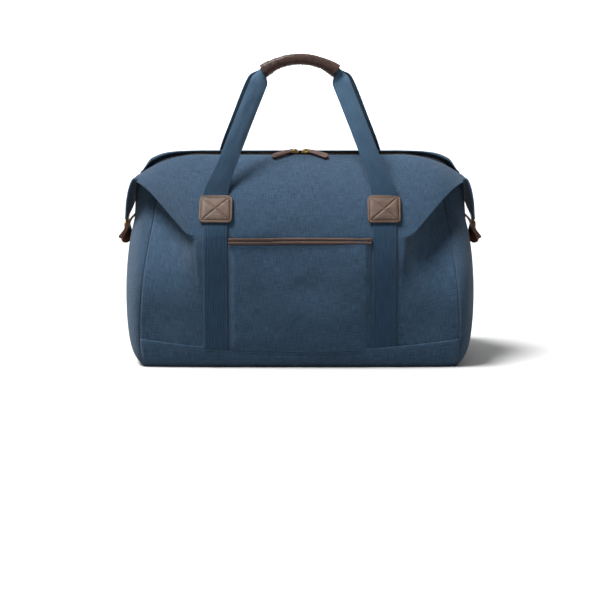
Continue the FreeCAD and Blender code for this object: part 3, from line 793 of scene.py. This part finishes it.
def makePatch(side, centre, node):
    shape = patchShape
    half, tall, middle = shape["half"], shape["tall"], shape["middle"]

    def place(u, v):
        a, b = cornerRounded(u * 2 - 1, v * 2 - 1, (shape["corner"] / half, shape["corner"] / tall))
        edge = min(half * (1 - abs(a)), tall * (1 - abs(b)))
        lift = shape["lift"] + shape["pillow"] * smoothStep(0.0, 0.010, edge)
        lift -= shape["edgeRound"] * (1 - smoothStep(0.0, 0.0022, edge))
        lift -= shape["groove"] * patchGroove(a, b)
        return onFace(side, centre + a * half, middle + b * tall, lift)

    mesh = clothGrid(64, 54, place, half * 2, tall * 2)
    if side > 0:
        bmesh.ops.reverse_faces(mesh, faces=mesh.faces)
    piece = finishPiece(node + "Leather", mesh, patchLeather, "bag", [node])
    thicken(piece, shape["thickness"])


def makePatchStitches(side, centre, node):
    # a row round the edge and a cross from corner to corner
    shape = patchShape
    middle = shape["middle"]
    inX, inZ = shape["half"] - shape["inset"], shape["tall"] - shape["inset"]
    shortX, shortZ = inX - shape["threadCorner"], inZ - shape["threadCorner"]
    ring = [(inX, -shortZ), (inX, shortZ), (shortX, inZ), (-shortX, inZ), (-inX, shortZ), (-inX, -shortZ),
            (-shortX, -inZ), (shortX, -inZ), (inX, -shortZ)]
    lift = shape["lift"] + shape["pillow"] * 0.55 - shape["groove"] + 0.0003
    threads = []
    for (x1, z1), (x2, z2) in zip(ring, ring[1:]):
        path = [(centre + x1, middle + z1), (centre + x2, middle + z2)]
        threads += faceStitch(side, path, lift, steps=12)
    for sign in (-1, 1):
        path = [(centre - inX, middle - sign * inZ), (centre + inX, middle + sign * inZ)]
        threads += faceStitch(side, path, lift + 0.0003, steps=30)
    finishCopies(node + "Stitches", bead, threads, brownThread, "bag")


for faceName, side in faces:
    for name, turn in ends:
        makePatch(side, turn * strapShape["centre"], faceName + "_" + name + "_patch")
        makePatchStitches(side, turn * strapShape["centre"], faceName + "_" + name + "_patch")
print("patches made")

seamShape = {"strapInset": 0.0030, "bandRows": (0.0042, 0.0090), "bandEnd": 0.232, "bandLift": 0.0031,
             "strapLift": 0.0021, "pocketDrop": 0.0022, "pocketLift": 0.0046, "pitch": 0.0034}


def makeBodyStitches(faceName, side):
    shape = seamShape
    pitch = shape["pitch"]
    threads = []
    for drop in shape["bandRows"]:
        path = [(x, bandTop(x) - drop) for x in [shape["bandEnd"] * (n / 4 - 1) for n in range(9)]]
        threads += faceStitch(side, path, shape["bandLift"], pitch, 70)
    for turn in (-1, 1):
        for edge in (-1, 1):
            x = turn * strapShape["centre"] + edge * (strapShape["width"] / 2 - shape["strapInset"])
            path = [(x, bandTop(x) + 0.001), (x, 0.10), (x, 0.16), (x, patchShape["low"] - 0.001)]
            threads += faceStitch(side, path, shape["strapLift"], pitch, 60)
    if side < 0:
        half, z = pocketShape["half"] - 0.001, pocketShape["trimLow"] - shape["pocketDrop"]
        threads += faceStitch(side, [(-half, z), (0.0, z), (half, z)], shape["pocketLift"], pitch, 60)
    finishCopies(faceName + "SeamStitches", bead, threads, navyThread, "bag")


for faceName, side in faces:
    makeBodyStitches(faceName, side)
print("seams stitched")

gripLow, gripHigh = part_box("front_grip")
# chord and sagitta size the arc of the grip; root and leave are heights and lifts off the cloth; narrow is
# how much of its width a handle's webbing loses and bow how far it hangs out, front (-1) and rear (1)
handleShape = {"thickness": 0.0022, "top": gripHigh.z, "radius": 0.0088,
               "depth": abs(gripLow.y + gripHigh.y) / 2, "halfChord": 0.055, "sagitta": 0.0175,
               "root": (0.2460, 0.0020), "leave": (0.2590, 0.0058), "drift": 0.0005,
               "narrow": {-1: 0.26, 1: 0.14}, "bow": {-1: 0.0010, 1: 0.0085}, "bowDepth": 0.004,
               "twist": 6, "crumple": 0.0012, "length": 0.235, "blendLow": -0.006, "blendHigh": 0.010}
arcRadius = (handleShape["halfChord"] ** 2 + handleShape["sagitta"] ** 2) / (2 * handleShape["sagitta"])
arcHeight = handleShape["top"] - handleShape["radius"] - arcRadius
arcHalfAngle = asin(handleShape["halfChord"] / arcRadius)


def strapPath(side, turn):
    # centre line of the free webbing from behind the patch to inside the end of the grip
    centre, depth = strapShape["centre"], side * handleShape["depth"]
    root = onFace(side, turn * centre, *handleShape["root"])
    leave = onFace(side, turn * (centre - handleShape["drift"]), *handleShape["leave"])
    inner = arcHalfAngle * 0.80
    end = Vector((turn * handleShape["halfChord"], depth, arcHeight + arcRadius * cos(arcHalfAngle)))
    inside = Vector((turn * arcRadius * sin(inner), depth, arcHeight + arcRadius * cos(inner)))
    rise = end - leave
    bow = Vector((turn * handleShape["bow"][side], side * handleShape["bowDepth"], 0))
    middle = [leave + rise * 0.30 + bow, leave + rise * 0.62 + bow, leave + rise * 0.88 + bow * 0.8]
    return [root, leave, *middle, end, inside]


def makeFreeStrap(faceName, side, name, turn):
    shape = handleShape
    width = strapShape["width"]
    path = strapPath(side, turn)
    outward = Vector((0, side, 0))

    def place(u, v):
        here = along(path, v)
        ahead = (along(path, min(1, v + 0.01)) - along(path, max(0, v - 0.01))).normalized()
        across = ahead.cross(outward).normalized() * side
        normal = across.cross(ahead).normalized() * side
        if normal.dot(outward) < 0:
            normal = -normal
        if across.x < 0:
            across = -across
        # the inner edge turns back a little as the two handles meet
        twist = Matrix.Rotation(-turn * radians(shape["twist"]) * smoothStep(0.08, 0.6, v), 3, ahead)
        across, normal = twist @ across, twist @ normal
        # how far the webbing's edges turn back, in radians across its width
        curl = 0.20 + 0.50 * smoothStep(0.10, 0.55, v) + 4.0 * smoothStep(0.84, 0.98, v)
        radius = width * (1 - shape["narrow"][side] * smoothStep(0.03, 0.28, v)) / curl
        angle = (u - 0.5) * curl
        spot = here + across * (radius * sin(angle)) - normal * (radius * (1 - cos(angle)))
        crumple = noise.noise(Vector((u * 2.4 + turn, v * 9.0, side * 3.0))) * shape["crumple"]
        return spot + normal * crumple * smoothStep(0.08, 0.3, v)

    mesh = clothGrid(24, 140, place, width, shape["length"])
    turnOut(mesh, path[2], outward)
    node = faceName + "_handle_" + name + "_strap"
    made = finishPiece(node + "Webbing", mesh, handleWebbing, None, [node])
    thicken(made, shape["thickness"])
    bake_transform(made)


gripShape = {"reach": 1.03, "flare": 0.22, "waist": 0.05, "ridge": 0.0011, "ridgeTurn": 0.75,
             "ridgeWidth": 0.16, "wrinkle": 0.0013, "softWrinkle": 0.0006, "squeeze": 0.96,
             "thickness": 0.0016, "stitchPitch": 0.0036, "stitchThickness": 0.0008}


def gripFlare(share):
    # how the sleeve widens to its ends, by share from the middle (0) to an end (1)
    share = abs(share)
    return 1 + gripShape["flare"] * smoothStep(0.55, 1.0, share) - gripShape["waist"] * (1 - share)


def makeGrip(faceName, side):
    shape = gripShape
    centre = Vector((0, side * handleShape["depth"], arcHeight))
    half = arcHalfAngle * shape["reach"]
    mesh = bmesh.new()
    upright = Matrix.Translation(centre + Vector((0, 0, arcRadius))) @ Matrix.Rotation(pi / 2, 4, "Y")
    bmesh.ops.create_circle(mesh, cap_ends=False, radius=handleShape["radius"], segments=36, matrix=upright)
    bmesh.ops.rotate(mesh, verts=mesh.verts, cent=centre, matrix=Matrix.Rotation(-half, 3, "Y"))
    bmesh.ops.spin(mesh, geom=mesh.edges[:] + mesh.verts[:], cent=centre, axis=(0, 1, 0), dvec=(0, 0, 0),
                   angle=2 * half, steps=120, use_merge=False, use_normal_flip=False, use_duplicate=False)
    bmesh.ops.remove_doubles(mesh, verts=mesh.verts, dist=1e-6)
    for vert in mesh.verts:
        offset = vert.co - centre
        angle = atan2(offset.x, offset.z)
        radial = Vector((sin(angle), 0, cos(angle)))
        core = centre + radial * arcRadius
        out = vert.co - core
        share = angle / half
        below = max(0.0, -out.normalized().dot(radial))
        turned = (atan2(out.y * -side, out.dot(radial)) - shape["ridgeTurn"]) / shape["ridgeWidth"]
        sharp = noise.noise(Vector((share * 30, out.y * 110, side * 2.0))) * (0.25 + below)
        soft = noise.noise(Vector((share * 9, out.y * 60, side * 5.0)))
        length = out.length * gripFlare(share) + shape["ridge"] * exp(-turned ** 2)
        length += shape["wrinkle"] * sharp + shape["softWrinkle"] * soft
        out.normalize()
        vert.co = core + Vector((out.x, out.y * shape["squeeze"], out.z)) * length
    bmesh.ops.recalc_face_normals(mesh, faces=mesh.faces)
    body = faceName + "_handle"
    node = faceName + "_grip"
    thicken(finishPiece(faceName + "GripLeather", mesh, gripLeather, body, [node]),
            shape["thickness"])

    points, normals = [], []
    for n in range(61):
        share = n / 30 - 1
        angle = half * share * 0.96
        radial = Vector((sin(angle), 0, cos(angle)))
        normal = (-radial * 0.2 + Vector((0, side, 0))).normalized()
        lift = handleShape["radius"] * gripFlare(share) * 0.985
        points.append(centre + radial * arcRadius + normal * lift)
        normals.append(normal)
    threads = stitchRow(points, normals, shape["stitchPitch"], shape["stitchThickness"])
    finishCopies(faceName + "GripStitches", bead, threads, brownThread, body)


for faceName, side in faces:
    for name, turn in ends:
        makeFreeStrap(faceName, side, name, turn)
    makeGrip(faceName, side)
    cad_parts[faceName + "_grip_webbing"].data.materials[0] = navyCore
print("handles made")

# a folded wing: how far out its edges are by height, how far its middle sinks in by height, and half its
# width by share from the fold to the foot; blend is where the cloth starts and ends turning at its hinge
wingShape = {"edge": [(0.2140, 0.2738), (0.2210, 0.2718), (0.2350, 0.2682), (0.2490, 0.2655),
                      (0.2620, 0.2628), (0.2720, 0.2596), (0.2790, 0.2560)],
             "sink": [(0.2140, 0.0004), (0.2250, 0.0015), (0.2450, 0.0020), (0.2650, 0.0010),
                      (0.2870, 0.0020)],
             "halfWidth": [(0.0, 0.0455), (0.25, 0.0470), (0.55, 0.0400), (0.8, 0.0255), (1.0, 0.0125)],
             "foot": 0.2135, "foldEdge": 0.2785, "foldMiddle": 0.2850, "rearTurn": 0.0036, "ripple": 0.0012,
             "thickness": 0.0030, "blendAcross": 0.004, "blendAbove": 0.004, "blendBelow": 0.014}


def wingSheet(u, v):
    # v runs from the fold down to the tab, u across from the front edge to the rear edge
    shape = wingShape
    across = (u - 0.5) * 2
    top = shape["foldMiddle"] + (shape["foldEdge"] - shape["foldMiddle"]) * abs(across) ** 1.3
    z = top + (shape["foot"] - top) * v
    x = heightCurve(shape["edge"], min(z, shape["foldEdge"])) - max(0.0, z - shape["foldEdge"]) * 1.5
    x -= heightCurve(shape["sink"], z) * (1 - abs(across) ** 2)
    x -= shape["rearTurn"] * smoothStep(0.0, 1.0, across) * smoothStep(1.0, 0.6, v)
    x += noise.noise(Vector((across * 1.5, 8.0, v * 3.0))) * shape["ripple"] * smoothStep(0.05, 0.3, v)
    return Vector((x, across * heightCurve(shape["halfWidth"], v), z))


def makeWing(name, turn):
    mesh = clothGrid(44, 50, wingSheet, 0.09, 0.08)
    turnOut(mesh, (0.262, 0, 0.24), (1, 0, 0))
    if turn < 0:
        mirrorMesh(mesh, (-1, 1, 1))
    made = finishPiece(name + "WingCloth", mesh, canvas, None, [name + "_wing"])
    thicken(made, wingShape["thickness"], offset=0.0)
    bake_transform(made)


def wingPoint(across, z, lift):
    # a point on the wing's outer side, across in metres from its middle
    shape = wingShape
    v = (z - shape["foldMiddle"]) / (shape["foot"] - shape["foldMiddle"])
    spot = wingSheet(0.5 + across / heightCurve(shape["halfWidth"], v) / 2, v)
    return spot + Vector((shape["thickness"] / 2 + lift, 0, 0))


wingZipShape = {"tapeHalf": 0.0120, "tapeTop": 0.2640, "tapeFoot": 0.2205, "tapeThickness": 0.0008,
                "tapeLift": 0.0006, "teethTop": 0.2630, "teethFoot": 0.2295, "teethLift": 0.0018,
                "tooth": (0.0022, 0.0034, 0.0019), "pitch": 0.0030, "stagger": 0.0009,
                "stopTop": 0.2290, "stopFoot": 0.2215, "stopLift": 0.0020, "stop": (0.0030, 0.0074)}


def makeWingZip(name, turn):
    shape = wingZipShape
    body = name + "_wing"

    def place(u, v):
        z = shape["tapeTop"] + (shape["tapeFoot"] - shape["tapeTop"]) * v
        return wingPoint((u - 0.5) * 2 * shape["tapeHalf"], z, shape["tapeLift"])

    mesh = clothGrid(10, 24, place, shape["tapeHalf"] * 2, 0.044)
    bmesh.ops.reverse_faces(mesh, faces=mesh.faces)
    if turn < 0:
        mirrorMesh(mesh, (-1, 1, 1))
    tape = finishPiece(name + "WingTape", mesh, zipTape, body, [name + "_wing_zip_tape"])
    thicken(tape, shape["tapeThickness"], offset=0.0)

    places = []
    for n in range(int((shape["teethTop"] - shape["teethFoot"]) / shape["pitch"] * 2)):
        across = shape["stagger"] * (1 if n % 2 else -1)
        spot = wingPoint(across, shape["teethTop"] - n * shape["pitch"] / 2, shape["teethLift"])
        spot.x *= turn
        places.append(Matrix.Translation(spot) @ Matrix.Diagonal((*shape["tooth"], 1)))
    finishCopies(name + "WingTeeth", tooth, places, zipMetal, body, [name + "_wing_zip_teeth"])

    top, foot = [wingPoint(0, z, shape["stopLift"]) for z in (shape["stopTop"], shape["stopFoot"])]
    middle = (top + foot) / 2
    middle.x *= turn
    size = Matrix.Diagonal((*shape["stop"], shape["stopTop"] - shape["stopFoot"], 1))
    stop = [Matrix.Translation(middle) @ size]
    finishCopies(name + "EndStop", tooth, stop, brass, body, [name + "_zip_end_stop"])


for name, turn in ends:
    makeWing(name, turn)
    makeWingZip(name, turn)
print("wings made")

zipShape = {"pitch": 0.0030, "tooth": (0.0019, 0.0034, 0.0022), "apart": 0.0011, "end": 0.255, "sink": 0.0006,
            "tapeInner": 0.0026, "tapeOuter": 0.0120, "tapeSink": 0.0018, "tapeDrop": 0.0048,
            "tapeThickness": 0.0007}


def makeZipTape(faceName, side):
    # a narrow tape that slopes down from the teeth to under its panel's edge
    shape = zipShape
    reach = bodyShape["ridgeEnd"]

    def place(u, v):
        x = (u - 0.5) * 2 * reach
        inner = Vector((x, side * shape["tapeInner"], ridgeAt(x) - lipShape["zipDrop"] - shape["tapeSink"]))
        edge = lipPoint(abs(x) / reach, side > 0).z
        return inner.lerp(Vector((x, side * shape["tapeOuter"], edge - shape["tapeDrop"])), v)

    mesh = clothGrid(120, 4, place, 0.5, 0.010)
    turnOut(mesh, (0, 0, ridgeHeight), (0, 0, 1))
    tape = finishPiece(faceName + "ZipTape", mesh, zipTape, "bag", [faceName + "_zip_tape"])
    thicken(tape, shape["tapeThickness"])


def makeZipTeeth(faceName, side):
    # the teeth follow the ridge, straight and then round; the rear row is half a pitch further on
    shape = zipShape
    straight, radius = bodyShape["ridgeStraight"], bodyShape["ridgeRound"]
    places = []
    for turn in (-1, 1):
        for n in range(int(shape["end"] / shape["pitch"])):
            distance = (n + (0.5 if side > 0 else 0.0)) * shape["pitch"]
            angle = max(0.0, distance - straight) / radius
            spot = Vector((turn * (min(distance, straight) + radius * sin(angle)), side * shape["apart"],
                           zipHeight - radius * (1 - cos(angle)) - shape["sink"]))
            lean = Matrix.Rotation(turn * angle, 4, "Y")
            places.append(Matrix.Translation(spot) @ lean @ Matrix.Diagonal((*shape["tooth"], 1)))
    finishCopies(faceName + "ZipTeeth", tooth, places, zipMetal, "bag", [faceName + "_zip_teeth"])


for faceName, side in faces:
    makeZipTape(faceName, side)
for faceName, side in faces:
    makeZipTeeth(faceName, side)

# the zip pulls: near is by the ring, far is the tip out over the front lip, both from the zip's middle
tagShape = {"near": (0.0145, -0.0040, 0.0034), "far": (0.0425, -0.0225, -0.0046), "arch": 0.0008,
            "width": 0.0085, "tipWidth": 0.0098, "neck": 0.62, "tip": 0.90, "thickness": 0.0032,
            "slope": (0, -0.55, 0.84), "edgeRound": 0.0007}


def makePullTab(name, turn):
    shape = tagShape
    slope = Vector(shape["slope"])
    near, far = [Vector((turn * x, y, zipHeight + z)) for x, y, z in (shape["near"], shape["far"])]
    arch = Vector((0, 0, shape["arch"]))
    path = [near, near.lerp(far, 0.35) + arch, near.lerp(far, 0.7) + arch, far]
    across = slope.cross((far - near).normalized()).normalized()

    def place(u, v):
        half = (shape["width"] + (shape["tipWidth"] - shape["width"]) * smoothStep(0.3, 0.8, v)) / 2
        half *= sqrt(max(0.02, 1 - max(0.0, (v - shape["tip"]) / (1 - shape["tip"])) ** 2))
        half *= shape["neck"] + (1 - shape["neck"]) * smoothStep(0.0, 0.12, v)
        swell = 0.0005 * (1 - u * u) - 0.0004 * exp(-((abs(u) - 0.74) / 0.10) ** 2)
        return along(path, v) + across * (u * half) + slope * swell

    mesh = plainGrid(14, 40, place)
    turnOut(mesh, near, (0, 0, 1))
    node = name + "_pull_tab"
    made = finishPiece(name + "PullTag", mesh, pullLeather, name + "_pull", [node])
    thicken(made, shape["thickness"], offset=0.0)
    roundEdge(made, shape["edgeRound"])


# snap tabs: (out, height) down each one's middle, and how far its tip turns towards the front
snapTabShape = {"wing": [(0.2702, 0.2220), (0.2718, 0.2130), (0.2724, 0.2040), (0.2750, 0.1950),
                         (0.2825, 0.1830)],
                "end": [(0.2588, 0.2210), (0.2655, 0.2140), (0.2697, 0.2060), (0.2705, 0.1960),
                        (0.2745, 0.1760)],
                "turn": {"wing": 0.35, "end": 0.75}, "width": 0.0225, "tip": 0.82, "swell": 0.0005,
                "groove": 0.0004, "grooveInset": 0.0022, "grooveWidth": 0.0006, "thickness": 0.0028,
                "edgeRound": 0.0006}


def makeSnapTab(name, turn, kind, body):
    shape = snapTabShape
    path = [Vector((x, 0, z)) for x, z in shape[kind]]

    def place(u, v):
        tip = max(0.0, (v - shape["tip"]) / (1 - shape["tip"]))
        half = shape["width"] / 2 * sqrt(max(0.02, 1 - tip ** 2.4))
        angle = shape["turn"][kind] * smoothStep(0.35, 1.0, v)
        inset = (half - abs(u) * half - shape["grooveInset"]) / shape["grooveWidth"]
        rise = shape["swell"] * (1 - u * u) - shape["groove"] * exp(-inset ** 2)
        spot = along(path, v) + Vector((-sin(angle), cos(angle), 0)) * (u * half)
        spot += Vector((cos(angle), sin(angle), 0)) * rise
        return Vector((turn * spot.x, spot.y, spot.z))

    mesh = plainGrid(18, 44, place)
    bmesh.ops.recalc_face_normals(mesh, faces=mesh.faces)
    node = name + "_" + kind + "_tab"
    made = finishPiece(name + kind + "SnapTab", mesh, tabLeather, body, [node])
    thicken(made, shape["thickness"], offset=0.0)
    roundEdge(made, shape["edgeRound"])


# heights of the slider's two plates, dome, post and ring are from the zip's line
sliderShape = {"centre": 0.0085, "length": 0.0130, "width": 0.0092,
               "plates": ((0.0016, 0.0018), (-0.0032, 0.0014)), "edgeRound": 0.0006,
               "domeBack": 0.0008, "domeUp": 0.0022, "dome": (0.0048, 0.0044, 0.0052),
               "postUp": -0.0010, "post": (0.0045, 0.0012, 0.0050)}
ringShape = {"radius": 0.0040, "wire": 0.0009, "stretch": (1.1, 0.9, 1), "place": (0.0125, -0.0022, 0.0040)}


def makeZipSlider(name, turn):
    shape = sliderShape
    mesh = bmesh.new()
    x = turn * shape["centre"]
    for up, height in shape["plates"]:
        size = Matrix.Diagonal((shape["length"], shape["width"], height, 1))
        bmesh.ops.create_cube(mesh, size=1, matrix=Matrix.Translation((x, 0, zipHeight + up)) @ size)
    bmesh.ops.bevel(mesh, geom=mesh.edges[:], offset=shape["edgeRound"], segments=3, profile=0.5, material=-1,
                    affect="EDGES")
    dome = Matrix.Translation((x - turn * shape["domeBack"], 0, zipHeight + shape["domeUp"]))
    dome = dome @ Matrix.Diagonal((*shape["dome"], 1))
    bmesh.ops.create_uvsphere(mesh, u_segments=28, v_segments=18, radius=1, matrix=dome)
    post = Matrix.Translation((x, 0, zipHeight + shape["postUp"])) @ Matrix.Diagonal((*shape["post"], 1))
    bmesh.ops.create_cube(mesh, size=1, matrix=post)
    finishPiece(name + "ZipSlider", mesh, brass, name + "_slider", [name + "_slider"])


def makePullRing(name, turn):
    shape = ringShape
    mesh = bmesh.new()
    wire = Matrix.Translation((shape["radius"], 0, 0)) @ Matrix.Rotation(pi / 2, 4, "X")
    bmesh.ops.create_circle(mesh, cap_ends=False, radius=shape["wire"], segments=12, matrix=wire)
    bmesh.ops.spin(mesh, geom=mesh.edges[:] + mesh.verts[:], cent=(0, 0, 0), axis=(0, 0, 1), dvec=(0, 0, 0),
                   angle=2 * pi, steps=36, use_merge=True, use_normal_flip=False, use_duplicate=False)
    bmesh.ops.remove_doubles(mesh, verts=mesh.verts, dist=1e-5)
    bmesh.ops.recalc_face_normals(mesh, faces=mesh.faces)
    x, y, up = shape["place"]
    tilt = Vector((0, 0, 1)).rotation_difference(Vector(tagShape["slope"])).to_matrix().to_4x4()
    place = Matrix.Translation((turn * x, y, zipHeight + up)) @ tilt @ Matrix.Diagonal((*shape["stretch"], 1))
    bmesh.ops.transform(mesh, matrix=place, verts=mesh.verts)
    finishPiece(name + "PullRing", mesh, brass, name + "_pull", [name + "_pull_clip"])


for name, turn in ends:
    makeZipSlider(name, turn)
    makePullRing(name, turn)
    makePullTab(name, turn)
    makeSnapTab(name, turn, "wing", name + "_wing")
    makeSnapTab(name, turn, "end", "bag")
    for part in ("snap_cap", "snap_socket", "snap_stud"):
        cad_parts[name + "_" + part].data.materials[0] = brass
print("zip and snaps made")

viewShape = {"distance": 2.20, "elevation": 9.0, "aim": 0.0838, "spread": 0.954, "sensor": 36.0}


def makeCamera():
    shape = viewShape
    tilt = radians(shape["elevation"])
    data = bpy.data.cameras.new("camera")
    camera = bpy.data.objects.new("camera", data)
    bpy.context.scene.collection.objects.link(camera)
    data.sensor_width = shape["sensor"]
    data.lens = shape["sensor"] * shape["distance"] / shape["spread"]
    away = Vector((0, -cos(tilt), sin(tilt))) * shape["distance"]
    camera.location = Vector((0, 0, shape["aim"])) + away
    camera.rotation_euler = (pi / 2 - tilt, 0, 0)
    bpy.context.scene.camera = camera


studioShape = {"planeSize": 14, "backdropDepth": 9, "floorTones": (0.37, 0.39), "backdropTones": (0.98, 1.0),
               "sky": 0.32, "sunFrom": (-0.40, -0.08, 0.91), "sunStrength": 9.0, "sunSpread": 24}


def makeSun():
    data = bpy.data.lights.new("key", "SUN")
    data.energy = studioShape["sunStrength"]
    data.angle = radians(studioShape["sunSpread"])
    lamp = bpy.data.objects.new("key", data)
    bpy.context.scene.collection.objects.link(lamp)
    lamp.rotation_euler = (-Vector(studioShape["sunFrom"])).to_track_quat("-Z", "Y").to_euler()


def stagePlane(name, materialName, tones, scale, socket, spot, turn):
    material, flow, shader = newMaterial(materialName, roughness=0.9)
    dark, light = [(grey, grey, grey, 1) for grey in tones]
    connect(flow.noise(flow.objectSpace(), scale).mixColour(dark, light), shader, socket)
    if socket == "Emission Color":
        shader.inputs["Emission Strength"].default_value = 1.0
    mesh = bmesh.new()
    bmesh.ops.create_grid(mesh, x_segments=2, y_segments=2, size=studioShape["planeSize"])
    bmesh.ops.rotate(mesh, verts=mesh.verts, cent=(0, 0, 0), matrix=Matrix.Rotation(turn, 3, "X"))
    bmesh.ops.translate(mesh, verts=mesh.verts, vec=spot)
    finishPiece(name, mesh, material, None)


def makeStudio():
    shape = studioShape
    stagePlane("floor", "paleFloor", shape["floorTones"], 3.0, "Base Color", (0, 0, 0), 0.0)
    stagePlane("backdrop", "paleBackdrop", shape["backdropTones"], 2.0, "Emission Color",
               (0, shape["backdropDepth"], 0), pi / 2)
    world = bpy.data.worlds.new("studio")
    bpy.context.scene.world = world
    world.use_nodes = True
    world.node_tree.nodes["Background"].inputs[0].default_value = (1, 1, 1, 1)
    world.node_tree.nodes["Background"].inputs[1].default_value = shape["sky"]
    makeSun()
    bpy.context.scene.view_settings.view_transform = "Standard"


makeCamera()
makeStudio()
